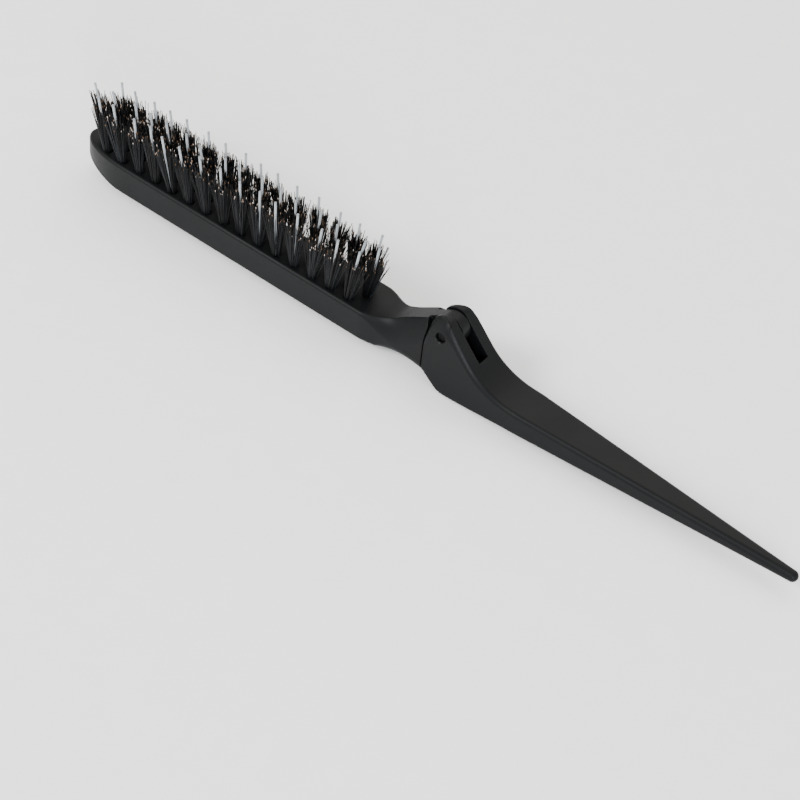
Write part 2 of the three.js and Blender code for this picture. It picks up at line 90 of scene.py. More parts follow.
# %% [markdown]
# ## Helpers
# Colours are picked in sRGB, as a paint program shows them, and shaders want them linear: one function
# turns them. One more adds a node with its settings and links, for shaders and Geometry Nodes alike.
# Some nodes have one socket for each kind of value, and only one of them is in use. So where a node is
# handed on as it is, its first output in use is meant, and such an input is named by its number.

# %% Colour and node helpers
def linear(hex_colour):
    """An sRGB colour such as 0x303234 as linear RGBA."""
    shares = [((hex_colour >> shift) & 255) / 255 for shift in (16, 8, 0)]
    curve = [c / 12.92 if c <= 0.04045 else ((c + 0.055) / 1.055) ** 2.4 for c in shares]
    return (*curve, 1.0)


def add(tree, kind, inputs=(), **settings):
    """Adds a node. Its inputs, in order or by name, take a value, a socket, or a node for its result."""
    made = tree.nodes.new(kind)
    for name, value in settings.items():
        setattr(made, name, value)
    for key, value in inputs.items() if isinstance(inputs, dict) else enumerate(inputs):
        if isinstance(value, bpy.types.Node):
            value = next(socket for socket in value.outputs if socket.enabled)
        if isinstance(value, bpy.types.NodeSocket):
            tree.links.new(value, made.inputs[key])
        else:
            made.inputs[key].default_value = value
    return made


print("middle grey 0x808080 is", round(linear(0x808080)[0], 3), "in linear light")

# %% Start and end of a material
def new_material(name):
    """An empty node material and its tree."""
    material = bpy.data.materials.new(name)
    material.use_nodes = True
    tree = material.node_tree
    tree.nodes.clear()
    return material, tree


def finish_material(tree, **sockets):
    """Ends a material with its surface shader, which takes the given sockets."""
    shader = add(tree, "ShaderNodeBsdfPrincipled", {key.replace("_", " "): sockets[key] for key in sockets})
    add(tree, "ShaderNodeOutputMaterial", {"Surface": shader})
    print("a surface with", len(tree.nodes), "nodes")


# %% [markdown]
# ## Soft-touch plastic
# Both bodies are moulded in nylon or ABS and then sprayed with a rubbery polyurethane paint, which the
# trade calls soft-touch. It is nearly black and very matt, with a fine velvet grain from the spray, and
# it gathers light at grazing angles. Noise in object coordinates gives the grain, in real millimetres,
# and a second, slow one gives the faint clouds that a spray coat has.

# %% Soft-touch paint on the moulded bodies
GRAIN_SIZE = 0.35 * MM  # the real grain is about 0.1 mm; drawn coarser so that it shows
GRAIN_DEPTH = 0.03 * MM
CLOUD_SIZE = 14 * MM
NOISE_BAND = (0.35, 0.65)  # noise seldom leaves this band, so the band is spread from 0 to 1
SPECK_SHARE = 0.35  # how far a speck of grain goes towards its own colour
COAT_ROUGHNESS = (0.42, 0.50)
GRAIN_ROUGHNESS = (-0.04, 0.04)  # added to the coat's own

soft_touch, tree = new_material("soft_touch_polyurethane_paint")
where = add(tree, "ShaderNodeTexCoord").outputs["Object"]
clouds = add(tree, "ShaderNodeTexNoise", {"Vector": where, "Scale": 1 / CLOUD_SIZE, "Detail": 2.0})
grain = add(tree, "ShaderNodeTexNoise", {"Vector": where, "Scale": 1 / GRAIN_SIZE, "Detail": 2.0})
cloud = add(tree, "ShaderNodeMapRange", (clouds, *NOISE_BAND, 0.0, 1.0))
speck = add(tree, "ShaderNodeMapRange", (grain, *NOISE_BAND, 0.0, 1.0))
base = add(tree, "ShaderNodeMix", {0: cloud, 6: linear(0x060708), 7: linear(0x08090A)}, data_type="RGBA")
share = add(tree, "ShaderNodeMapRange", (speck, 0.0, 1.0, 0.0, SPECK_SHARE))
colour = add(tree, "ShaderNodeMix", {0: share, 6: base, 7: linear(0x0D0E0F)}, data_type="RGBA")
coat_rough = add(tree, "ShaderNodeMapRange", (cloud, 0.0, 1.0, *COAT_ROUGHNESS))
grain_rough = add(tree, "ShaderNodeMapRange", (speck, 0.0, 1.0, *GRAIN_ROUGHNESS))
rough = add(tree, "ShaderNodeMath", (coat_rough, grain_rough), operation="ADD")
bump = add(tree, "ShaderNodeBump", {"Height": grain, "Strength": 0.25, "Distance": GRAIN_DEPTH})
finish_material(
    tree, Base_Color=colour, Roughness=rough, Normal=bump, IOR=1.48,
    Specular_IOR_Level=0.13, Sheen_Weight=0.015, Sheen_Roughness=0.4,
)
print("material:", soft_touch.name)

# %% [markdown]
# ## Boar bristle
# Boar bristle is keratin, like hair: a glossy strand, near black after dyeing. Its split tip takes less dye,
# so some tips are brown or tan, and the cream of the palest tips is a painted glint on the cut ends. Some
# strands are a bluish grey, a painted highlight that streaks the tufts. Two attributes that the bristles
# carry drive this: "along" runs from 0 at the root to 1 at the tip, and "tone" is a random number of each
# strand.

# %% Boar bristle
# The second strand colour is a painted highlight: a bluish grey that stands in for light streaking the tufts
STRAND_AND_HIGHLIGHT_COLOURS = (0x030405, 0x1C2023)
HIGHLIGHT_STREAK_TONES = (0.7, 1.0)  # strands in this range of tones turn from the first colour to the second
# The browns and tans are the tips' own lighter colour; the cream last stop is a painted glint on the cut ends
TIP_AND_GLINT_COLOURS = ((0.0, 0x080808), (0.64, 0x14110F), (0.78, 0x3A2C22), (0.89, 0x84684F), (0.97, 0xCFC2B8))
TIP_STRETCH = (0.955, 0.99)  # where along the strand its tip's colour takes over
STRAND_ROUGHNESS = (0.5, 0.36)

boar, tree = new_material("boar_bristle_keratin")
along = add(tree, "ShaderNodeAttribute", attribute_name="along").outputs["Fac"]
tone = add(tree, "ShaderNodeAttribute", attribute_name="tone").outputs["Fac"]
share = add(tree, "ShaderNodeMapRange", (tone, *HIGHLIGHT_STREAK_TONES, 0.0, 1.0))
ends = {6: linear(STRAND_AND_HIGHLIGHT_COLOURS[0]), 7: linear(STRAND_AND_HIGHLIGHT_COLOURS[1])}
body = add(tree, "ShaderNodeMix", {0: share, **ends}, data_type="RGBA")
tip_and_glint_ramp = add(tree, "ShaderNodeValToRGB", {"Fac": tone})
ramp = tip_and_glint_ramp.color_ramp
for stop, (position, hex_colour) in zip(ramp.elements, TIP_AND_GLINT_COLOURS):
    stop.position, stop.color = position, linear(hex_colour)
for position, hex_colour in TIP_AND_GLINT_COLOURS[2:]:
    ramp.elements.new(position).color = linear(hex_colour)
at_tip = add(
    tree, "ShaderNodeMapRange", (along, *TIP_STRETCH, 0.0, 1.0), interpolation_type="SMOOTHSTEP"
)
colour = add(tree, "ShaderNodeMix", {0: at_tip, 6: body, 7: tip_and_glint_ramp}, data_type="RGBA")
rough = add(tree, "ShaderNodeMapRange", (tone, 0.0, 1.0, *STRAND_ROUGHNESS))
finish_material(tree, Base_Color=colour, Roughness=rough, IOR=1.55, Specular_IOR_Level=0.22)
print("material:", boar.name)

# %% [markdown]
# ## Nylon quills, pin and staples
# One stiff nylon quill stands in each tuft. Undyed nylon is milky: light goes in and scatters, so it is
# grey against white and white against black. The pin and the staples are steel wire, drawn through a
# die, which leaves fine lines along it; the pin is blackened so that it doesn't show.

# %% Undyed nylon
MILKY_DEPTH = 0.6 * MM  # how far light wanders in the nylon
QUILL_END = (0.95, 1.0)  # the stretch of a quill over which it greys towards its end

nylon, tree = new_material("undyed_nylon_quill")
along = add(tree, "ShaderNodeAttribute", attribute_name="along").outputs["Fac"]
at_end = add(tree, "ShaderNodeMapRange", (along, *QUILL_END, 0.0, 1.0))
colour = add(tree, "ShaderNodeMix", {0: at_end, 6: linear(0xB4B9BC), 7: linear(0x8A8E91)}, data_type="RGBA")
finish_material(
    tree, Base_Color=colour, Roughness=0.32, IOR=1.53, Transmission_Weight=0.35,
    Subsurface_Weight=0.3, Subsurface_Radius=(MILKY_DEPTH, MILKY_DEPTH, MILKY_DEPTH), Subsurface_Scale=1.0,
)
print("material:", nylon.name)

# %% Blackened steel and galvanised wire
LINE_STRETCH = (1.0, 0.03, 1.0)  # draws the noise out along the wire
LINE_DEPTH = 0.01 * MM
LINE_ROUGHNESS = 0.08  # how far the lines make the steel rougher or smoother


def drawn_steel(name, dark, light, roughness, line_width):
    """Drawn wire: a metal with fine lines along the brush's width, the way the wire runs."""
    material, tree = new_material(name)
    where = add(tree, "ShaderNodeTexCoord").outputs["Object"]
    where = add(tree, "ShaderNodeMapping", {"Vector": where, "Scale": LINE_STRETCH})
    lines = add(tree, "ShaderNodeTexNoise", {"Vector": where, "Scale": 1 / line_width, "Detail": 3.0})
    colour = add(tree, "ShaderNodeMix", {0: lines, 6: linear(dark), 7: linear(light)}, data_type="RGBA")
    ends = (roughness - LINE_ROUGHNESS, roughness + LINE_ROUGHNESS)
    rough = add(tree, "ShaderNodeMapRange", (lines, 0.0, 1.0, *ends))
    bump = add(tree, "ShaderNodeBump", {"Height": lines, "Strength": 0.2, "Distance": LINE_DEPTH})
    finish_material(tree, Base_Color=colour, Roughness=rough, Metallic=1.0, Normal=bump)
    return material


blackened = drawn_steel("blackened_steel_pin", 0x0A0A0B, 0x1A1A1B, 0.42, 0.15 * MM)
galvanised = drawn_steel("galvanised_steel_wire", 0x8C8F92, 0xB4B7BA, 0.40, 0.10 * MM)
print("materials:", blackened.name, galvanised.name)

# %% [markdown]
# ## Where the tufts stand
# The outer rows have fifteen tufts and the middle row has sixteen, half a pitch further at both ends.
# Near the nose the outer rows draw in with the head's outline. These are the CAD model's own sizes.

# %% Tuft places
HEAD_REACH = 128.3
HEAD_THICKNESS = 10.4
HEAD_HALF_WIDTH = 7.3
NOSE_LENGTH = 18.3
NOSE_POWER = 2.25  # 2 would be half an ellipse, and more is blunter
ROW_SPACING = 4.7
ROW_MARGIN = 2.55  # the least between the middle of a tuft and the head's side
TUFT_PITCH = 6.22
FIRST_TUFT = 31.4
OUTER_TUFTS = 15
ROWS = {"bristle_row_right": -1, "bristle_row_middle": 0, "bristle_row_left": 1}


def nose_half(x):
    """Half the head's width at x, without its neck."""
    into = max(0.0, -x - (HEAD_REACH - NOSE_LENGTH)) / NOSE_LENGTH
    return HEAD_HALF_WIDTH * math.sqrt(max(0.0, 1 - into**NOSE_POWER))


def tuft_places(side):
    """The x and y of a row's tufts, in millimetres from the pin."""
    count = OUTER_TUFTS + (side == 0)
    first = FIRST_TUFT - (TUFT_PITCH / 2 if side == 0 else 0)
    xs = [-(first + i * TUFT_PITCH) for i in range(count)]
    return [(x, side * min(ROW_SPACING, nose_half(x) - ROW_MARGIN)) for x in xs]


def tuft_points(sides, height):
    """The tufts of some rows, as points of the frame at one height."""
    return [place(x, y, height) for side in sides for x, y in tuft_places(side)]


print("tufts:", {row: len(tuft_places(side)) for row, side in ROWS.items()})

# %% How the tufts lean
LEAN_AT_NECK = 8.0  # degrees towards the hinge
LEAN_AT_NOSE = -14.5  # degrees towards the free end
LEAN_POWER = 2.2  # how early along the head the tufts lean over
LEAN_SCATTER = 1.8  # degrees that a tuft stands off the rule
LEAN_SEED = 11


def tuft_leans(side):
    """How a row's tufts fan out: each tuft's run in x and y for each unit of height."""
    scatter = random.Random(LEAN_SEED + side)
    leans = []
    for x, _ in tuft_places(side):
        share = min(1.0, max(0.0, (-x - FIRST_TUFT) / ((OUTER_TUFTS - 1) * TUFT_PITCH)))
        rule = LEAN_AT_NOSE + (LEAN_AT_NECK - LEAN_AT_NOSE) * (1 - share) ** LEAN_POWER
        along, across = scatter.gauss(rule, LEAN_SCATTER), scatter.gauss(0.0, LEAN_SCATTER / 2)
        leans.append((math.tan(math.radians(along)), math.tan(math.radians(across)), 0.0))
    return leans


print("first and last lean of the middle row:", [round(lean[0], 2) for lean in tuft_leans(0)[::OUTER_TUFTS]])

# %% [markdown]
# ## A Geometry Nodes tree that plants bristles
# Each tuft point is copied once for each strand. A strand is a straight line instanced there, then bent:
# it leaves the hole near the tuft's middle and drifts outwards to its tip, and a few strays lean
# further. A thin tube skins it. The random numbers have a fixed seed, so each run grows the same brush.

# %% Start and end of a Geometry Nodes tree
def new_tree(name, inputs):
    """A tree with a geometry input and output, and named inputs given as (name, kind, value)."""
    tree = bpy.data.node_groups.new(name, "GeometryNodeTree")
    tree.interface.new_socket("Geometry", in_out="INPUT", socket_type="NodeSocketGeometry")
    tree.interface.new_socket("Geometry", in_out="OUTPUT", socket_type="NodeSocketGeometry")
    for label, kind, value in inputs:
        socket = tree.interface.new_socket(label, in_out="INPUT", socket_type="NodeSocket" + kind)
        if value is not None:
            socket.default_value = value
    return tree, tree.nodes.new("NodeGroupInput").outputs


def end_tree(tree, geometry, material):
    """Realizes the instances, sets the material and ends the tree."""
    real = add(tree, "GeometryNodeRealizeInstances", (geometry,))
    dressed = add(tree, "GeometryNodeSetMaterial", {"Geometry": real, "Material": material})
    smooth = add(tree, "GeometryNodeSetShadeSmooth", {"Geometry": dressed})
    add(tree, "NodeGroupOutput", (smooth,))
    print("tree:", tree.name, "with", len(tree.nodes), "nodes")


# %% Run a tree
def say_triangles(name, mesh):
    print(name, "has", sum(len(face.vertices) - 2 for face in mesh.polygons), "triangles")


def grow(name, tree, points, settings, leans=None):
    """Runs a tree on loose points and returns its result as a plain object."""
    seeds = bpy.data.meshes.new(name + "_points")
    seeds.from_pydata(points, [], [])
    if leans:
        column = seeds.attributes.new("lean", "FLOAT_VECTOR", "POINT")
        column.data.foreach_set("vector", [v for lean in leans for v in lean])
    holder = in_scene(name + "_points", seeds)
    modifier = holder.modifiers.new("Grow", "NODES")
    modifier.node_group = tree
    sockets = {s.name: s.identifier for s in tree.interface.items_tree if s.in_out == "INPUT"}
    for label, value in settings.items():
        modifier[sockets[label]] = value
    graph = bpy.context.evaluated_depsgraph_get()
    mesh = bpy.data.meshes.new_from_object(
        holder.evaluated_get(graph), preserve_all_data_layers=True, depsgraph=graph
    )
    bpy.data.objects.remove(holder)
    say_triangles(name, mesh)
    return in_scene(name, mesh)


# %% A random number, and a flat vector
def chance(tree, low, high, seed, offset):
    """A random number for each point, which differs with the tree's own seed and the offset."""
    own_seed = add(tree, "ShaderNodeMath", (seed, float(offset)), operation="ADD")
    return add(tree, "FunctionNodeRandomValue", {2: low, 3: high, 8: own_seed}, data_type="FLOAT")


def polar(tree, radius, angle):
    """A flat vector of a length and direction."""
    cosine = add(tree, "ShaderNodeMath", (angle,), operation="COSINE")
    sine = add(tree, "ShaderNodeMath", (angle,), operation="SINE")
    x = add(tree, "ShaderNodeMath", (radius, cosine), operation="MULTIPLY")
    y = add(tree, "ShaderNodeMath", (radius, sine), operation="MULTIPLY")
    return add(tree, "ShaderNodeCombineXYZ", (x, y))


# %% Named inputs of the tree for boar strands
STRAND_INPUTS = (
    ("Strands in a tuft", "Int", 112),
    ("Length", "Float", None),
    ("Length spread", "Float", 0.13),
    ("Hole radius", "Float", 1.0 * MM),
    ("Flare along", "Float", 3.0),
    ("Flare across", "Float", 2.0),
    ("Stray", "Float", 0.46 * MM),
    ("Strand radius", "Float", 0.13 * MM),
    ("Tip taper", "Float", 0.7),
    ("Sides", "Int", 5),
    ("Steps", "Int", 5),
    ("Seed", "Int", None),
    ("Material", "Material", None),
)
print("inputs of the strand tree:", ", ".join(label for label, _, _ in STRAND_INPUTS))

# %% Where a strand starts and where its tip goes
STRAY_MOST = 1.6
STRAY_POWER = 3.0  # most strands hardly stray, and a few stray far
STRAY_SHAPE = (1.5, 0.45, 1.0)  # strays lean more along the head than across it


def strand_ends(tree, given):
    """A strand's root and its tip's drift, as flat vectors from the middle of its tuft."""
    seed = given["Seed"]
    angle = chance(tree, 0.0, 2 * math.pi, seed, 1)
    share = add(tree, "ShaderNodeMath", (chance(tree, 0.0, 1.0, seed, 2),), operation="SQRT")
    from_middle = add(tree, "ShaderNodeMath", (share, given["Hole radius"]), operation="MULTIPLY")
    root = polar(tree, from_middle, angle)
    push = chance(tree, 0.0, STRAY_MOST, seed, 3)
    push = add(tree, "ShaderNodeMath", (push, STRAY_POWER), operation="POWER")
    stray = add(tree, "ShaderNodeMath", (given["Stray"], push), operation="MULTIPLY")
    drift = polar(tree, stray, chance(tree, 0.0, 2 * math.pi, seed, 4))
    drift = add(tree, "ShaderNodeVectorMath", (drift, STRAY_SHAPE), operation="MULTIPLY")
    flare = add(tree, "ShaderNodeCombineXYZ", (given["Flare along"], given["Flare across"]))
    flared = add(tree, "ShaderNodeVectorMath", (root, flare), operation="MULTIPLY")
    return root, add(tree, "ShaderNodeVectorMath", (flared, drift), operation="ADD")


def strand_points(tree, given):
    """Copies each tuft's point once for each strand, and keeps on each copy how its strand runs."""
    copies = add(
        tree, "GeometryNodeDuplicateElements",
        {"Geometry": given["Geometry"], "Amount": given["Strands in a tuft"]}, domain="POINT",
    )
    root, tip = strand_ends(tree, given)
    least = add(tree, "ShaderNodeMath", (1.0, given["Length spread"]), operation="SUBTRACT")
    most = add(tree, "ShaderNodeMath", (1.0, given["Length spread"]), operation="ADD")
    share = chance(tree, least, most, given["Seed"], 5)
    length = add(tree, "ShaderNodeMath", (given["Length"], share), operation="MULTIPLY")
    kept = {
        "base": (add(tree, "GeometryNodeInputPosition"), "FLOAT_VECTOR"),
        "root": (root, "FLOAT_VECTOR"),
        "tip": (tip, "FLOAT_VECTOR"),
        "long": (length, "FLOAT"),
        "tone": (chance(tree, 0.0, 1.0, given["Seed"], 6), "FLOAT"),
    }
    for name, (value, kind) in kept.items():
        inputs = {"Geometry": copies, "Name": name, "Value": value}
        copies = add(tree, "GeometryNodeStoreNamedAttribute", inputs, data_type=kind, domain="POINT")
    return copies


# %% A line for each strand, bent from its root to its tip
BEND_POWER = 1.15  # above 1, a strand leaves its hole straighter and bends more near its tip


def strand_lines(tree, given, points):
    """Stands a line on each point and bends it the way that the point says."""
    line = add(tree, "GeometryNodeCurvePrimitiveLine", {"End": (0.0, 0.0, 1.0)})
    count = add(tree, "ShaderNodeMath", (given["Steps"], 1.0), operation="ADD")
    line = add(tree, "GeometryNodeResampleCurve", {"Curve": line, "Count": count})
    lines = add(tree, "GeometryNodeInstanceOnPoints", {"Points": points, "Instance": line})
    lines = add(tree, "GeometryNodeRealizeInstances", (lines,))
    inputs = {"Geometry": lines, "Name": "along", "Value": add(tree, "GeometryNodeSplineParameter")}
    lines = add(tree, "GeometryNodeStoreNamedAttribute", inputs, data_type="FLOAT", domain="POINT")
    read = "GeometryNodeInputNamedAttribute"
    along, length = (add(tree, read, (name,), data_type="FLOAT") for name in ("along", "long"))
    base, root, tip, lean = (
        add(tree, read, (name,), data_type="FLOAT_VECTOR") for name in ("base", "root", "tip", "lean")
    )
    eased = add(tree, "ShaderNodeMath", (along, BEND_POWER), operation="POWER")
    outwards = add(tree, "ShaderNodeMix", {0: eased, 4: root, 5: tip}, data_type="VECTOR")
    upright = add(tree, "ShaderNodeVectorMath", (lean, (0.0, 0.0, 1.0)), operation="ADD")
    height = add(tree, "ShaderNodeMath", (along, length), operation="MULTIPLY")
    rise = add(tree, "ShaderNodeVectorMath", {0: upright, "Scale": height}, operation="SCALE")
    run = add(tree, "ShaderNodeVectorMath", (outwards, rise), operation="ADD")
    where = add(tree, "ShaderNodeVectorMath", (base, run), operation="ADD")
    return add(tree, "GeometryNodeSetPosition", {"Geometry": lines, "Position": where}), along


# %% The whole tree for boar strands
def strand_tree():
    """Plants curved, tapering strands around each tuft point."""
    tree, given = new_tree("plant_boar_strands", STRAND_INPUTS)
    lines, along = strand_lines(tree, given, strand_points(tree, given))
    taper = add(tree, "ShaderNodeMath", (given["Tip taper"], 1.0), operation="SUBTRACT")
    thin = add(tree, "ShaderNodeMath", (along, taper, 1.0), operation="MULTIPLY_ADD")
    radius = add(tree, "ShaderNodeMath", (given["Strand radius"], thin), operation="MULTIPLY")
    section = add(
        tree, "GeometryNodeCurvePrimitiveCircle", {"Resolution": given["Sides"], "Radius": 1.0}
    )
    tubes = add(
        tree, "GeometryNodeCurveToMesh",
        {"Curve": lines, "Profile Curve": section, "Scale": radius, "Fill Caps": True},
    )
    end_tree(tree, tubes, given["Material"])
    return tree


boar_tree = strand_tree()

# %% Plant the three rows
BOAR_LENGTH = 12.3
HOLE_DEPTH = 2.6  # how far below the head's face the bristles start
BOAR_SEED = 40
SEED_STEP = 10  # from one row's seed to the next

boar_rows = {}
for number, (row, side) in enumerate(ROWS.items()):
    seed = BOAR_SEED + SEED_STEP * number
    settings = {"Seed": seed, "Length": (BOAR_LENGTH + HOLE_DEPTH) * MM, "Material": boar}
    points = tuft_points([side], HEAD_THICKNESS - HOLE_DEPTH)
    boar_rows[row] = grow("boar_" + row, boar_tree, points, settings, tuft_leans(side))

# %% [markdown]
# ## Quills
# Each tuft has one stiff quill of nylon with a round end, which lifts the hair before the boar reaches
# it. One quill is turned as a lathe profile, and a second tree stands a copy in each tuft, each a
# little off plumb, as they come out of the tufting machine.

# %% A turned body
def band_faces(rows, count):
    """The faces between closed rows of points, each with the same count."""
    faces = []
    for i in range(rows - 1):
        for k in range(count):
            after = (k + 1) % count
            faces.append((i * count + k, i * count + after, (i + 1) * count + after, (i + 1) * count + k))
    return faces


def end_faces(rows, count):
    """A face over the first row and one over the last."""
    return [tuple(reversed(range(count))), tuple(range((rows - 1) * count, rows * count))]


def turned(name, profile, sides, axis="Z"):
    """A body turned from (radius, height) pairs in metres, with a flat face at both ends."""
    points = []
    for radius, height in profile:
        for k in range(sides):
            angle = 2 * math.pi * k / sides
            points.append((radius * math.cos(angle), radius * math.sin(angle), height))
    if axis == "Y":
        points = [(x, -z, y) for x, y, z in points]
    faces = band_faces(len(profile), sides) + end_faces(len(profile), sides)
    mesh = bpy.data.meshes.new(name)
    mesh.from_pydata(points, [], faces)
    return in_scene(name, mesh)


# %% One quill
QUILL_LENGTH = 18.2
QUILL_RADIUS = 0.36
QUILL_SIDES = 10
QUILL_BEAD = 0.40  # radius of the round end
SHAFT_SHARES = (0.0, 0.35, 0.7, 0.93)  # the shaft's rings, as shares of the quill's length
BEAD_ANGLES = (-27, 0, 25, 50, 72, 86)  # the bead's rings, in degrees above its widest


def quill_profile():
    """Radius and height along a quill: a straight shaft and a bead that ends in a dome."""
    total = QUILL_LENGTH + HOLE_DEPTH
    shaft = [(QUILL_RADIUS, total * share) for share in SHAFT_SHARES]
    centre = total - QUILL_BEAD
    angles = [math.radians(a) for a in BEAD_ANGLES]
    bead = [(QUILL_BEAD * math.cos(a), centre + QUILL_BEAD * math.sin(a)) for a in angles]
    return [(r * MM, h * MM) for r, h in shaft + bead]


one_quill = turned("one_quill", quill_profile(), QUILL_SIDES)
print("one quill has", len(one_quill.data.vertices), "points")

# %% The tree that plants the quills
QUILL_INPUTS = (
    ("Quill", "Object", None),
    ("Length", "Float", None),
    ("Tilt", "Float", 0.025),
    ("Shortest", "Float", 0.975),
    ("Seed", "Int", None),
    ("Material", "Material", None),
)


def quill_tree():
    """Stands one copy of the quill at each tuft point, slightly tilted."""
    tree, given = new_tree("plant_quills", QUILL_INPUTS)
    seed = given["Seed"]
    quill = add(tree, "GeometryNodeObjectInfo", {"Object": given["Quill"]}).outputs["Geometry"]
    position = add(tree, "GeometryNodeInputPosition")
    height = add(tree, "ShaderNodeSeparateXYZ", (position,)).outputs["Z"]
    along = add(tree, "ShaderNodeMath", (height, given["Length"]), operation="DIVIDE")
    inputs = {"Geometry": quill, "Name": "along", "Value": along}
    quill = add(tree, "GeometryNodeStoreNamedAttribute", inputs, data_type="FLOAT", domain="POINT")
    least = add(tree, "ShaderNodeMath", (given["Tilt"], -1.0), operation="MULTIPLY")
    tilt_x = chance(tree, least, given["Tilt"], seed, 1)
    tilt_y = chance(tree, least, given["Tilt"], seed, 2)
    tilt = add(tree, "ShaderNodeCombineXYZ", (tilt_x, tilt_y, 1.0))
    lean = add(tree, "GeometryNodeInputNamedAttribute", ("lean",), data_type="FLOAT_VECTOR")
    upright = add(tree, "ShaderNodeVectorMath", (lean, tilt), operation="ADD")
    rotation = add(tree, "FunctionNodeAlignRotationToVector", {"Vector": upright}, axis="Z")
    scale = add(tree, "ShaderNodeCombineXYZ", (1.0, 1.0, chance(tree, given["Shortest"], 1.0, seed, 3)))
    planted = add(
        tree, "GeometryNodeInstanceOnPoints",
        {"Points": given["Geometry"], "Instance": quill, "Rotation": rotation, "Scale": scale},
    )
    end_tree(tree, planted, given["Material"])
    return tree


nylon_tree = quill_tree()

# %% Plant the quills
QUILL_SEED = 7

quills = grow(
    "nylon_quills", nylon_tree, tuft_points(ROWS.values(), HEAD_THICKNESS - HOLE_DEPTH),
    {"Quill": one_quill, "Length": (QUILL_LENGTH + HOLE_DEPTH) * MM, "Seed": QUILL_SEED, "Material": nylon},
    [lean for side in ROWS.values() for lean in tuft_leans(side)],
)
bpy.data.objects.remove(one_quill)

# %% [markdown]
# ## Tools for the two moulded bodies
# A moulding is a smooth skin that is cut by a few flat faces. So each body is skinned first, over many
# thin sections, and then cut with plain blocks. A bevel rounds the cut edges, because no mould makes a
# sharp edge, and weighted normals keep the flat faces flat. The pin's bore is left out of the bevel,
# which would fold where the bore meets curved faces: on the handle, the cutter gives it a chamfer.

# %% Sizes that the head and the handle share
# Lengths are in millimetres, heights count from the head's back, and places along x from the pin
PIVOT_HEIGHT = 17.1
JOINT_HALF_WIDTH = 6.3
EAR_RADIUS = 5.0
EAR_BACK = 3.6  # the ears' round is squeezed to this on the tail's side
EAR_SLOPE = math.radians(46)
TONGUE_WIDTH = 3.4
RUNNING_GAP = 0.3  # between faces that turn past each other
PIN_RADIUS = 1.5
BORE_PLAY = 0.05
BORE_RADIUS = PIN_RADIUS + BORE_PLAY
BORE_CHAMFER = 0.28
BORE_RIM = BORE_RADIUS + 2.2 * BORE_CHAMFER  # edges nearer the pin's axis than this are the bore's own
SEAM_FOOT = -4.1
SEAM_TOP = -4.9
SEAM_ROWS = (-4.3, -5.6)  # no section stands between these, so that the seam cuts no slivers
NECK_EDGE = 3.6
NECK_BEVEL = 1.9
NECK_BACK_EDGE = 3.0
FAR_AWAY = 30.0  # blocks reach this far past what they cut
SLOT_DEPTH = 8.4
FOLD_ANGLE = 172  # degrees from open to folded
print("the bore leaves", round(EAR_RADIUS - BORE_RADIUS, 2), "mm of ear round it")

# %% A piece from points, and a block
DOUBLE = 0.002  # points nearer than this are one


@contextmanager
def editing(mesh):
    """A mesh that is open for editing and is written back at the end."""
    work = bmesh.new()
    work.from_mesh(mesh)
    yield work
    work.to_mesh(mesh)
    work.free()


def moulded(name, rows, faces):
    """A piece from rows of points in millimetres; doubles are merged and faces are turned outwards."""
    mesh = bpy.data.meshes.new(name)
    mesh.from_pydata([place(*point) for row in rows for point in row], [], faces)
    with editing(mesh) as work:
        bmesh.ops.remove_doubles(work, verts=work.verts, dist=DOUBLE * MM)
        bmesh.ops.recalc_face_normals(work, faces=work.faces)
    return in_scene(name, mesh)


def skin(name, rows):
    """A closed surface over rows of points, each with the same count."""
    size = (len(rows), len(rows[0]))
    return moulded(name, rows, band_faces(*size) + end_faces(*size))


def block(outline, near, far):
    """A block with an outline in x and z, between two values of y."""
    return skin("block", [[(x, y, z) for x, z in outline] for y in (near, far)])


# %% Cut one piece with another
def applied(piece):
    """Turns a piece's modifiers into its own mesh."""
    graph = bpy.context.evaluated_depsgraph_get()
    mesh = bpy.data.meshes.new_from_object(piece.evaluated_get(graph), depsgraph=graph)
    piece.modifiers.clear()
    piece.data = mesh


def cut(piece, cutter, operation="DIFFERENCE"):
    """Cuts one body with another, which is then gone."""
    modifier = piece.modifiers.new("Cut", "BOOLEAN")
    modifier.operation, modifier.solver, modifier.object = operation, "EXACT", cutter
    applied(piece)
    bpy.data.objects.remove(cutter)


# %% Mark the sharp edges, and close gaps
SLIVER = 0.01  # shorter edges are dropped before edges are rounded
FLAT_ANGLE = math.radians(0.05)
SHARP_ANGLE = math.radians(38)


def mark_edges(piece):
    """Joins faces in one plane, drops slivers and marks the edges to round, but none at the bore."""
    axis = place(0, 0, PIVOT_HEIGHT)
    with editing(piece.data) as work:
        bmesh.ops.remove_doubles(work, verts=work.verts, dist=SLIVER * MM)
        bmesh.ops.dissolve_limit(work, angle_limit=FLAT_ANGLE, verts=work.verts, edges=work.edges)
        bmesh.ops.dissolve_degenerate(work, edges=work.edges, dist=SLIVER * MM)
        marks = work.edges.layers.float.new("bevel_weight_edge")
        for edge in work.edges:
            away = [point.co - axis for point in edge.verts]
            past_bore = max(math.hypot(v.x, v.z) for v in away) > BORE_RIM * MM
            if len(edge.link_faces) == 2 and edge.calc_face_angle() > SHARP_ANGLE:
                edge[marks] = float(past_bore)
                edge.smooth = past_bore


def close_up(piece):
    """Drops edges that no face uses, and fills gaps that a bevel left at a sliver."""
    with editing(piece.data) as work:
        bmesh.ops.delete(work, geom=[edge for edge in work.edges if not edge.link_faces], context="EDGES")
        bmesh.ops.holes_fill(work, edges=[edge for edge in work.edges if len(edge.link_faces) == 1], sides=0)


# %% Round the cut edges
EDGE_ROUNDING = 0.22
ROUNDING_STEPS = 3
FACE_WEIGHT = 70  # how far large faces decide the shading where they meet small ones


def smooth_shaded(piece):
    piece.data.polygons.foreach_set("use_smooth", [True] * len(piece.data.polygons))


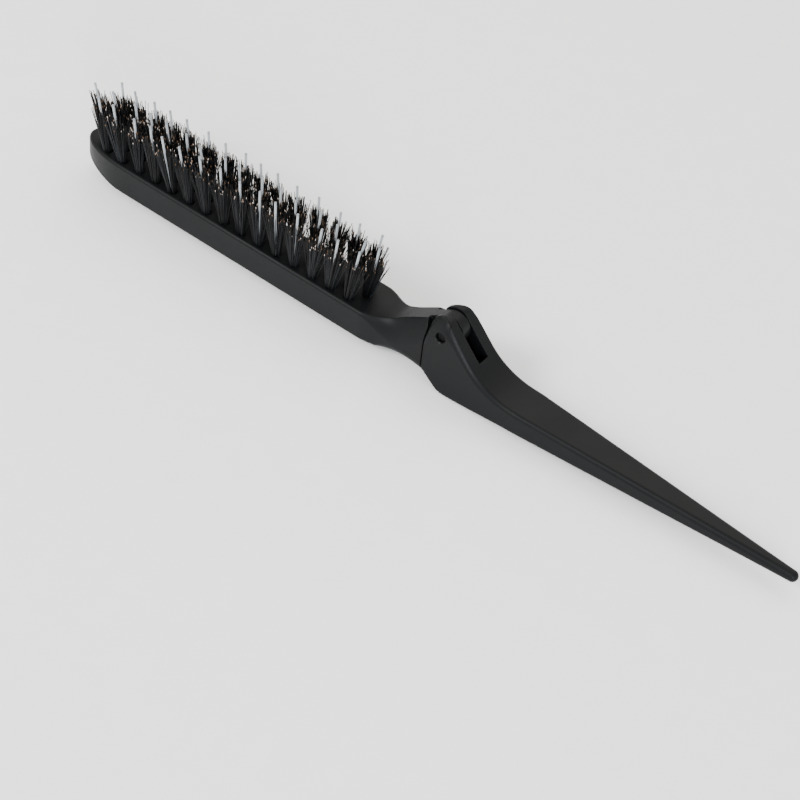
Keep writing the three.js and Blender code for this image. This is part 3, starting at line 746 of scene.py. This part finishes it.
def round_edges(piece):
    """Rounds the marked edges, then weighs the normals by face size."""
    mark_edges(piece)
    bevel = piece.modifiers.new("Round", "BEVEL")
    bevel.width, bevel.segments, bevel.limit_method = EDGE_ROUNDING * MM, ROUNDING_STEPS, "WEIGHT"
    bevel.use_clamp_overlap = False
    applied(piece)
    close_up(piece)
    smooth_shaded(piece)
    weigh = piece.modifiers.new("Weigh", "WEIGHTED_NORMAL")
    weigh.weight, weigh.keep_sharp = FACE_WEIGHT, True
    applied(piece)
    say_triangles(piece.name, piece.data)


# %% Rules that both profiles use
CORNER_STEPS = 10


def ease(x, start, end):
    """0 at start, 1 at end, smooth between."""
    t = min(1.0, max(0.0, (x - start) / (end - start)))
    return t * t * (3 - 2 * t)


def between(a, b, share):
    return a + (b - a) * share


def steps(start, end, count):
    """Places after start, up to end, evenly spaced."""
    return [start + (end - start) * (i + 1) / count for i in range(count)]


def edge_point(across, down, power, step):
    """A point of an edge's rounding, from the side (step 0) to the face: how far in, and how deep.

    A power above 1 leaves the side smoothly and meets the face in a ridge.
    """
    turn = math.pi / 2 * step / CORNER_STEPS
    return across * (1 - math.cos(turn) ** power), down * (1 - math.sin(turn))


def seam_x(z):
    """The slanted seam between head and handle, seen from the side."""
    return between(SEAM_FOOT, SEAM_TOP, z / PIVOT_HEIGHT)


print("the seam runs from x", seam_x(0), "at the back to", seam_x(PIVOT_HEIGHT), "at the pin's height")

# %% [markdown]
# ## Brush head
# In plan the head is a bar with a rounded nose, and from the side its back lifts at the nose, while its
# bristle side climbs the neck to the knuckle. It is skinned as a stack of plan outlines, each drawn in
# by the rounding at its height, so the rounding is even all round the nose.

# %% Sizes of the head
BACK_HALF_WIDTH = 6.7
HEAD_EDGE = 1.0
BACK_EDGE = 1.3
NOSE_LIFT = 3.4
NOSE_LIFT_LENGTH = 14.3
NOSE_LIFT_POWER = 1.3
NECK_START = 26
NECK_NARROW = 17
NECK_WAIST = 12
NECK_EDGE_DOWN = 8.0
NECK_HOLLOW = 2.1  # how far the neck's underside rises, at HOLLOW_PLACE
HOLLOW_PLACE = 10
HOLLOW_SPAN = 10
NECK_SLOPE = math.radians(33)
NECK_BLEND = 12  # radius of the curve from the head's face into the slope
KNUCKLE_RADIUS = 4.4
KNUCKLE_END = math.radians(125)
TONGUE_END = 6.0  # where the skin starts; the knuckle's own round is cut from it
HEAD_SECTIONS = {"tongue": 18, "neck": 20, "waist": 16, "bar": 12, "nose": 36}

# The point where the neck's slope touches the knuckle, and where the blend into the slope starts and ends
neck_touch = (-KNUCKLE_RADIUS * math.sin(NECK_SLOPE), PIVOT_HEIGHT + KNUCKLE_RADIUS * math.cos(NECK_SLOPE))
blend_start = (
    neck_touch[0] - (neck_touch[1] - HEAD_THICKNESS) / math.tan(NECK_SLOPE)
    - NECK_BLEND * math.tan(NECK_SLOPE / 2)
)
blend_end = blend_start + NECK_BLEND * math.sin(NECK_SLOPE)
print("the neck's slope starts", round(-blend_start, 1), "mm from the pin")

# %% The head's plan and profile
def head_half(x):
    waist = between(1.0, JOINT_HALF_WIDTH / HEAD_HALF_WIDTH, ease(x, -NECK_START, -NECK_NARROW))
    return nose_half(x) * waist


def head_back(x):
    past = max(0.0, -x - (HEAD_REACH - NOSE_LIFT_LENGTH))
    nose = NOSE_LIFT * (past / NOSE_LIFT_LENGTH) ** NOSE_LIFT_POWER
    return nose + max(0.0, NECK_HOLLOW * (1 - ((x + HOLLOW_PLACE) / HOLLOW_SPAN) ** 2))


def head_top(x):
    if x <= blend_start:
        return HEAD_THICKNESS
    if x >= blend_end:
        return neck_touch[1] + (x - neck_touch[0]) * math.tan(NECK_SLOPE)
    return HEAD_THICKNESS + NECK_BLEND - math.sqrt(NECK_BLEND**2 - (x - blend_start) ** 2)


def head_stations():
    """The places along x, from past the knuckle to the tip of the nose."""
    counts = HEAD_SECTIONS
    nose_start = -(HEAD_REACH - NOSE_LENGTH)
    turns = steps(0, math.pi / 2, counts["nose"])
    nose = [nose_start - NOSE_LENGTH * math.sin(t) ** (2 / NOSE_POWER) for t in turns]
    tongue = [TONGUE_END, *steps(TONGUE_END, SEAM_ROWS[0], counts["tongue"]), SEAM_ROWS[1]]
    neck = [*tongue, *steps(SEAM_ROWS[1], -NECK_NARROW, counts["neck"])]
    waist = steps(-NECK_NARROW, -NECK_START, counts["waist"])
    return [*neck, *waist, *steps(-NECK_START, nose_start, counts["bar"]), *nose]


print("the head is drawn at", len(head_stations()), "places along its length")

# %% The head's plan outlines, one for each height
def head_outline():
    """Plan points of the right side from the neck to the nose, as (x, half width, normal)."""
    points = [(x, head_half(x)) for x in head_stations()]
    outline = []
    for i, (x, half) in enumerate(points):
        before, after = points[max(0, i - 1)], points[min(len(points) - 1, i + 1)]
        run = (before[0] - after[0], before[1] - after[1])
        length = math.hypot(*run)
        normal = (-run[1] / length, run[0] / length) if i + 1 < len(points) else (-1.0, 0.0)
        outline.append((x, half, normal))
    return outline


def head_layer(outline, height, step):
    """One plan outline: height is back or top, and step runs along that edge's rounding."""
    layer = []
    for x, half, (nx, ny) in outline:
        neck = ease(x, -NECK_START, -NECK_WAIST)
        if height == "back":
            radius = between(BACK_EDGE, NECK_BACK_EDGE, neck)
            wide = half * between(BACK_HALF_WIDTH / HEAD_HALF_WIDTH, 1.0, neck)
            inset, depth = edge_point(radius, radius, 1.0, CORNER_STEPS - step)
            z = head_back(x) + depth
        else:
            across, down = between(HEAD_EDGE, NECK_EDGE, neck), between(HEAD_EDGE, NECK_EDGE_DOWN, neck)
            wide = half
            inset, depth = edge_point(across, down, between(1.0, NECK_BEVEL, neck), step)
            z = head_top(x) - depth
        layer.append((x - nx * inset, wide - ny * inset, z))
    return layer


def head_rows():
    """The outlines from the back to the top, each closed round both sides of the head."""
    outline = head_outline()
    rows = []
    for height in ("back", "top"):
        for step in range(CORNER_STEPS + 1):
            layer = head_layer(outline, height, step)
            tip_x, _, tip_z = layer.pop()
            rightside = [(x, -y, z) for x, y, z in layer]
            rows.append([*rightside, (tip_x, 0.0, tip_z), *reversed(layer)])
    return rows


# %% Skin the head
def across_faces(first, count):
    """Narrow faces that close a row's outline from side to side, from the neck to the nose."""
    faces = []
    last = count // 2
    for k in range(last):
        ring = [first + k, first + k + 1]
        ring += [first + count - k - 2] if k + 1 < last else []
        faces.append((*ring, first + count - k - 1))
    return faces


rows = head_rows()
count = len(rows[0])
caps = across_faces(0, count) + across_faces((len(rows) - 1) * count, count)
head_piece = moulded("brush_head_finish", rows, band_faces(len(rows), count) + caps)
print("head skin:", len(head_piece.data.vertices), "points")

# %% The tongue and the seam, seen from the side
KNUCKLE_STEPS = 48


def knuckle_arc():
    """The tongue's round end, from its underside to where the neck's slope touches it."""
    start, end = -KNUCKLE_END, math.pi / 2 + NECK_SLOPE
    angles = [between(start, end, i / KNUCKLE_STEPS) for i in range(KNUCKLE_STEPS + 1)]
    return [(KNUCKLE_RADIUS * math.cos(a), PIVOT_HEIGHT + KNUCKLE_RADIUS * math.sin(a)) for a in angles]


def kept_tongue():
    """What stays of the head past the seam; it opens upwards."""
    low = PIVOT_HEIGHT - SLOT_DEPTH + 2 * RUNNING_GAP
    left = -NECK_WAIST
    return [(left, low), (SEAM_TOP, low), *knuckle_arc(), (neck_touch[0], FAR_AWAY), (left, FAR_AWAY)]


def past_seam():
    """All that lies past the head's own seam face."""
    top = 1.5 * FAR_AWAY
    return [
        (seam_x(-FAR_AWAY) - RUNNING_GAP, -FAR_AWAY), (FAR_AWAY, -FAR_AWAY),
        (FAR_AWAY, top), (seam_x(top) - RUNNING_GAP, top),
    ]


print("the tongue's outline has", len(kept_tongue()), "points")

# %% The shoulders, seen from the side
# The ears' round top ends where it meets the straight slope behind it
ear_share = EAR_BACK * math.tan(EAR_SLOPE) / EAR_RADIUS
ear_span = math.hypot(1, ear_share)
ear_end = (EAR_BACK * ear_share / ear_span, PIVOT_HEIGHT + EAR_RADIUS / ear_span)


def shoulder_cut():
    """The slanted face on the shoulders, where the ears' back comes to rest when the handle is folded."""
    turn = math.radians(FOLD_ANGLE + 90) - EAR_SLOPE
    out = Vector((math.cos(turn), math.sin(turn)))
    slope = Vector((math.sin(EAR_SLOPE), math.cos(EAR_SLOPE)))
    reach = slope.dot(Vector((ear_end[0], ear_end[1] - PIVOT_HEIGHT)))
    run = Vector((-out.y, out.x)) * 2 * FAR_AWAY
    point = Vector((0, PIVOT_HEIGHT)) + out * (reach + RUNNING_GAP)
    left = Vector((-run.y, run.x))
    return [tuple(c) for c in (point - run, point + run, point + run + left, point - run + left)]


print("the ears' round top ends at", [round(v, 2) for v in ear_end])

# %% A cutter for bores
BORE_SIDES = 64


def pin_cylinder(radius, sides=BORE_SIDES, reach=FAR_AWAY, mouth=0.0):
    """A long cylinder on the pin's axis; with a mouth, it widens at that distance each way."""
    half = [(radius + 2 * BORE_CHAMFER, mouth + BORE_CHAMFER), (radius, mouth - BORE_CHAMFER)]
    outer = [(half[0][0], reach), *half] if mouth else [(radius, reach)]
    profile = [(r * MM, -h * MM) for r, h in outer] + [(r * MM, h * MM) for r, h in reversed(outer)]
    body = turned("cutter", profile, sides, axis="Y")
    body.data.transform(Matrix.Translation(place(0, 0, PIVOT_HEIGHT)))
    return body


# %% Cut the seam, the room for the ears, the shoulders and the pin's bore
# The cutters end at different places, so that no two share a face there
SHOULDER_REACH = 0.9 * FAR_AWAY
SWEEP_REACH = 0.8 * FAR_AWAY
SWEEP_SIDES = 96

# The tongue is taken out of the cutter first, so that it stays on the head
ear_room = block(past_seam(), -FAR_AWAY, FAR_AWAY)
cut(ear_room, block(shoulder_cut(), -SHOULDER_REACH, SHOULDER_REACH), "UNION")
cut(ear_room, pin_cylinder(EAR_RADIUS + RUNNING_GAP, SWEEP_SIDES, SWEEP_REACH), "UNION")
cut(ear_room, block(kept_tongue(), -TONGUE_WIDTH / 2, TONGUE_WIDTH / 2))
cut(head_piece, ear_room)
cut(head_piece, pin_cylinder(BORE_RADIUS))
print("head after its cuts:", len(head_piece.data.vertices), "points")

# %% [markdown]
# ## Tuft holes
# The holes are drilled in a pattern that follows the rows, so Geometry Nodes place the drill: one
# cylinder is instanced on the tuft points, and the whole set cuts the head at once.

# %% Drill the tuft holes
HOLE_RADIUS = 1.12
HOLE_FLOOR = 3.2  # deeper than the bristles' ends, so that they stand free in the holes
DRILL_INPUTS = (("Radius", "Float", None), ("Depth", "Float", None), ("Sides", "Int", 20))


def drill_tree():
    """Stands a cylinder at each tuft point."""
    tree, given = new_tree("drill_tuft_holes", DRILL_INPUTS)
    sizes = {"Vertices": given["Sides"], "Radius": given["Radius"], "Depth": given["Depth"]}
    drill = add(tree, "GeometryNodeMeshCylinder", sizes)
    drills = add(tree, "GeometryNodeInstanceOnPoints", {"Points": given["Geometry"], "Instance": drill})
    real = add(tree, "GeometryNodeRealizeInstances", (drills,))
    add(tree, "NodeGroupOutput", (real,))
    return tree


drill_sizes = {"Radius": HOLE_RADIUS * MM, "Depth": 2 * HOLE_FLOOR * MM}
drills = grow("drills", drill_tree(), tuft_points(ROWS.values(), HEAD_THICKNESS), drill_sizes)
cut(head_piece, drills)
round_edges(head_piece)

# %% [markdown]
# ## Tail handle
# The handle is one long taper. Towards the hinge its back bulges into a heel, and its bristle side
# sweeps up into two round ears. It is skinned over sections across its length, each a rectangle with
# rounded corners, and the corners grow from small on the bar to large at the seam.

# %% Sizes of the handle
TAIL_REACH = 110.9
TAIL_TIP_RADIUS = 1.6
TAIL_TIP_HEIGHT = 2.9
TAIL_TOP_ROOT = 6.75
TAIL_TAPER_START = 27
TAIL_EDGE = 1.3
BAR_DROP = 1.05
HEEL_PLACE = 3.0
HEEL_DROP = 2.2
HEEL_SPAN = 26
HEEL_RISE = 3.5
HEEL_POWER = 1.5
EAR_BLEND = 22  # radius of the curve from the ears' slope into the bar
EAR_CORNER = 0.7  # keeps the ear's corner at the seam full, where no section stands
EAR_EDGE = 1.1
EAR_EDGE_RUN = 2.5  # how far past the ears' round top the edges go on narrowing
EAR_EDGE_STRETCH = 2.2  # the ears' edges are this many times as deep as they are wide
FULLEST_EDGE = 0.96  # the most of a section's half that an edge may take
BACK_EDGE_ROOM = 1.05  # the top edge leaves this many times the back edge free
SLOT_LENGTH = 10.9
SLOT_CORNER = 1.2

sweep_top = TAIL_TOP_ROOT + EAR_BLEND * (1 - math.cos(EAR_SLOPE))
sweep_start = ear_end[0] + (ear_end[1] - sweep_top) / math.tan(EAR_SLOPE)
sweep_end = sweep_start + EAR_BLEND * math.sin(EAR_SLOPE)
tip_start = TAIL_REACH - TAIL_TIP_RADIUS
print("the ears sweep down to the bar from x", round(sweep_start, 1), "to", round(sweep_end, 1))

# %% The handle's profile
def handle_top(x):
    if x <= -EAR_RADIUS:
        return PIVOT_HEIGHT + EAR_CORNER
    if x <= ear_end[0]:
        reach = EAR_RADIUS if x < 0 else EAR_BACK
        return PIVOT_HEIGHT + EAR_RADIUS * math.sqrt(1 - (x / reach) ** 2)
    if x <= sweep_start:
        return ear_end[1] - (x - ear_end[0]) * math.tan(EAR_SLOPE)
    if x <= sweep_end:
        return TAIL_TOP_ROOT + EAR_BLEND - math.sqrt(EAR_BLEND**2 - (sweep_end - x) ** 2)
    along = min(1.0, (x - sweep_end) / (tip_start - sweep_end))
    return between(TAIL_TOP_ROOT, TAIL_TIP_HEIGHT + TAIL_TIP_RADIUS, along)


def handle_back(x):
    if x < HEEL_PLACE:
        along = min(1.0, (HEEL_PLACE - x) / (HEEL_PLACE - SEAM_FOOT))
        return HEEL_RISE * along**HEEL_POWER - HEEL_DROP
    along = min(1.0, (x - HEEL_PLACE) / (tip_start - HEEL_PLACE))
    straight = between(-BAR_DROP, TAIL_TIP_HEIGHT - TAIL_TIP_RADIUS, along)
    return straight - (HEEL_DROP - BAR_DROP) * (1 - ease(x, HEEL_PLACE, HEEL_PLACE + HEEL_SPAN))


def handle_half(x):
    along = min(1.0, max(0.0, (x - TAIL_TAPER_START) / (tip_start - TAIL_TAPER_START)))
    return between(JOINT_HALF_WIDTH, TAIL_TIP_RADIUS, along)


# %% The handle's sections
def handle_section(x):
    """The handle's section at x, as points round it."""
    into_tip = max(0.0, x - tip_start) / TAIL_TIP_RADIUS
    roundness = math.sqrt(max(0.0, 1 - into_tip**2))
    middle = (handle_top(x) + handle_back(x)) / 2
    tall = (handle_top(x) - handle_back(x)) / 2 * roundness
    wide = handle_half(x) * roundness
    bar = ease(x, ear_end[0], sweep_end)
    heel = ease(x, SEAM_FOOT, HEEL_PLACE)
    bar_edge = between(TAIL_EDGE, TAIL_TIP_RADIUS, ease(x, TAIL_TAPER_START, tip_start))
    most = min(FULLEST_EDGE * wide, FULLEST_EDGE * tall)
    back_edge = min(between(NECK_BACK_EDGE, bar_edge, heel), most)
    ear_edge = between(NECK_EDGE, EAR_EDGE, ease(x, SEAM_TOP, ear_end[0] + EAR_EDGE_RUN))
    across = min(between(ear_edge, bar_edge, bar), most)
    down = min(between(EAR_EDGE_STRETCH * ear_edge, bar_edge, bar), 2 * tall - BACK_EDGE_ROOM * back_edge)
    power = between(NECK_BEVEL, 1.0, bar)
    side = []
    for step in range(CORNER_STEPS, -1, -1):
        inset, depth = edge_point(back_edge, back_edge, 1.0, step)
        side.append((wide - inset, middle - tall + depth))
    for step in range(CORNER_STEPS + 1):
        inset, depth = edge_point(across, down, power, step)
        side.append((wide - inset, middle + tall - depth))
    return [(x, y, z) for y, z in side] + [(x, -y, z) for y, z in reversed(side)]


# %% Skin the handle
HANDLE_SECTIONS = {"ears": 24, "top": 14, "slope": 5, "sweep": 22, "bar": 5, "tail": 20, "tip": 12}
BEFORE_EARS = 0.6  # the skin starts this far before the ears; the seam is cut from it
TIP_FLAT = 0.005  # the last section stands this far from the tail's very end
ROW_CLEARANCE = 0.35  # no other section stands this near the slot's end


def handle_stations():
    """The places along x, from before the seam to the tip of the tail."""
    counts = HANDLE_SECTIONS
    quarter = math.pi / 2
    rounds = [-EAR_RADIUS * math.cos(t) for t in steps(0, quarter, counts["ears"])]
    xs = [-EAR_RADIUS - BEFORE_EARS, -EAR_RADIUS, *[x for x in rounds if x > SEAM_ROWS[0]]]
    xs += steps(0, ear_end[0], counts["top"]) + steps(ear_end[0], sweep_start, counts["slope"])
    xs += steps(sweep_start, sweep_end, counts["sweep"])
    xs += steps(sweep_end, TAIL_TAPER_START, counts["bar"])
    xs += steps(TAIL_TAPER_START, tip_start, counts["tail"])
    xs += [tip_start + TAIL_TIP_RADIUS * math.sin(t) for t in steps(0, quarter, counts["tip"])[:-1]]
    clear = [x for x in xs if abs(x - SLOT_LENGTH) > ROW_CLEARANCE]
    return sorted([*clear, SLOT_LENGTH, TAIL_REACH - TIP_FLAT])


handle_piece = skin("tail_handle_finish", [handle_section(x) for x in handle_stations()])
print("handle skin:", len(handle_piece.data.vertices), "points")

# %% Cut the seam, the slot and the bore
before_seam = [
    (seam_x(-FAR_AWAY), -FAR_AWAY), (seam_x(2 * FAR_AWAY), 2 * FAR_AWAY),
    (-FAR_AWAY, 2 * FAR_AWAY), (-FAR_AWAY, -FAR_AWAY),
]
cut(handle_piece, block(before_seam, -FAR_AWAY, FAR_AWAY))

slot_floor = PIVOT_HEIGHT - SLOT_DEPTH
slot_top = 1.3 * FAR_AWAY
slot_outline = [
    (-FAR_AWAY, slot_floor), (SLOT_LENGTH - SLOT_CORNER, slot_floor), (SLOT_LENGTH, slot_floor + SLOT_CORNER),
    (SLOT_LENGTH, slot_top), (-FAR_AWAY, slot_top),
]
slot_half = TONGUE_WIDTH / 2 + RUNNING_GAP
cut(handle_piece, block(slot_outline, -slot_half, slot_half))
cut(handle_piece, pin_cylinder(BORE_RADIUS, mouth=JOINT_HALF_WIDTH))
round_edges(handle_piece)

# %% [markdown]
# ## Hinge pin
# The pin is cut from drawn wire and tumbled, so its ends are flat with a small rounded edge. It sits a
# little below the ears' sides.

# %% Turn the pin
PIN_RECESS = 0.75
PIN_EDGE = 0.3
PIN_EDGE_STEPS = 5
PIN_SIDES = 64

pin_end = JOINT_HALF_WIDTH - PIN_RECESS
turns = [0.0, *steps(0, math.pi / 2, PIN_EDGE_STEPS)]
rim = [(PIN_RADIUS - PIN_EDGE * (1 - math.cos(t)), pin_end - PIN_EDGE * (1 - math.sin(t))) for t in turns]
pin_profile = [(r, -h) for r, h in reversed(rim)] + rim
pin_piece = turned("hinge_pin_finish", [(r * MM, h * MM) for r, h in pin_profile], PIN_SIDES, axis="Y")
pin_piece.data.transform(Matrix.Translation(place(0, 0, PIVOT_HEIGHT)))
smooth_shaded(pin_piece)
pin_piece.data.set_sharp_from_angle(angle=SHARP_ANGLE)
print("the pin is", 2 * pin_end, "mm long")

# %% [markdown]
# ## Who rides on what
# The head carries its tufts, and the handle carries the pin. Each finer piece takes the place of its
# CAD node, which stays in the physics model. The staples keep their CAD solids and get a finish.

# %% Finishes, bodies and replaced nodes
def dress(piece, material, slot, body, *nodes):
    """Gives a piece its finish, its body and the CAD nodes that it stands for."""
    piece.data.materials.clear()
    piece.data.materials.append(material)
    if nodes:
        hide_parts(*nodes)
    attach(piece, body)
    print(piece.name, "rides on the", body)


dress(head_piece, soft_touch, "soft_touch_black", "head", "brush_head")
dress(handle_piece, soft_touch, "soft_touch_black", "handle", "tail_handle")
dress(pin_piece, blackened, "pin_steel", "handle", "hinge_pin")
for row, piece in boar_rows.items():
    dress(piece, boar, "boar_bristle", "head", row)
dress(quills, nylon, "boar_bristle", "head")
for name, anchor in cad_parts.items():
    if name.startswith("tuft_anchor"):
        anchor.data.materials.clear()
        anchor.data.materials.append(galvanised)

# %% [markdown]
# ## Floor and light
# The photo's background is plain white. A wide pale floor and a bright sky come close to it, and three
# soft lamps draw the form. The key lamp stands in front on the left, where the bar's near top edge
# mirrors it as a pale line. A low, cooler one in front on the right fills the sides and draws the ears'
# ridges. A warmer one above and behind lights the tops.

# %% Floor
FLOOR_REACH = 4.0
FIBRE_SCALE = 900.0  # a fibre's mottle is a millimetre or so wide

corners = [(x * FLOOR_REACH, y * FLOOR_REACH, 0) for x, y in ((-1, -1), (1, -1), (1, 1), (-1, 1))]
floor_mesh = bpy.data.meshes.new("floor")
floor_mesh.from_pydata(corners, [], [(0, 1, 2, 3)])
floor = in_scene("floor", floor_mesh)
paper, tree = new_material("white_paper_floor")
fibres = add(tree, "ShaderNodeTexNoise", {"Scale": FIBRE_SCALE, "Detail": 2.0})
colour = add(tree, "ShaderNodeMix", {0: fibres, 6: linear(0xF4F4F4), 7: linear(0xFAFAFA)}, data_type="RGBA")
finish_material(tree, Base_Color=colour, Roughness=0.9)
floor_mesh.materials.append(paper)

# %% Lamps and sky
SKY_STRENGTH = 1.45


def soft_lamp(name, position, size, power, hex_colour):
    """A square area lamp that faces the brush."""
    data = bpy.data.lights.new(name, "AREA")
    data.shape, data.size, data.energy = "SQUARE", size, power
    data.color = linear(hex_colour)[:3]
    lamp = in_scene(name, data)
    lamp.location = position
    lamp.rotation_euler = (-Vector(position)).to_track_quat("-Z", "Y").to_euler()
    print(name, "gives", power, "W")


soft_lamp("key_lamp", (-0.55, -1.05, 1.0), 0.5, 22.0, 0xFFFFFF)
soft_lamp("fill_lamp", (1.0, -1.15, 0.45), 0.4, 20.0, 0xF2F6FF)
soft_lamp("back_lamp", (-0.3, 0.9, 1.3), 1.2, 9.0, 0xFFF4E8)
world = bpy.data.worlds.new("studio")
bpy.context.scene.world = world
world.use_nodes = True
sky = world.node_tree.nodes["Background"].inputs
sky["Color"].default_value, sky["Strength"].default_value = linear(0xFFFFFF), SKY_STRENGTH
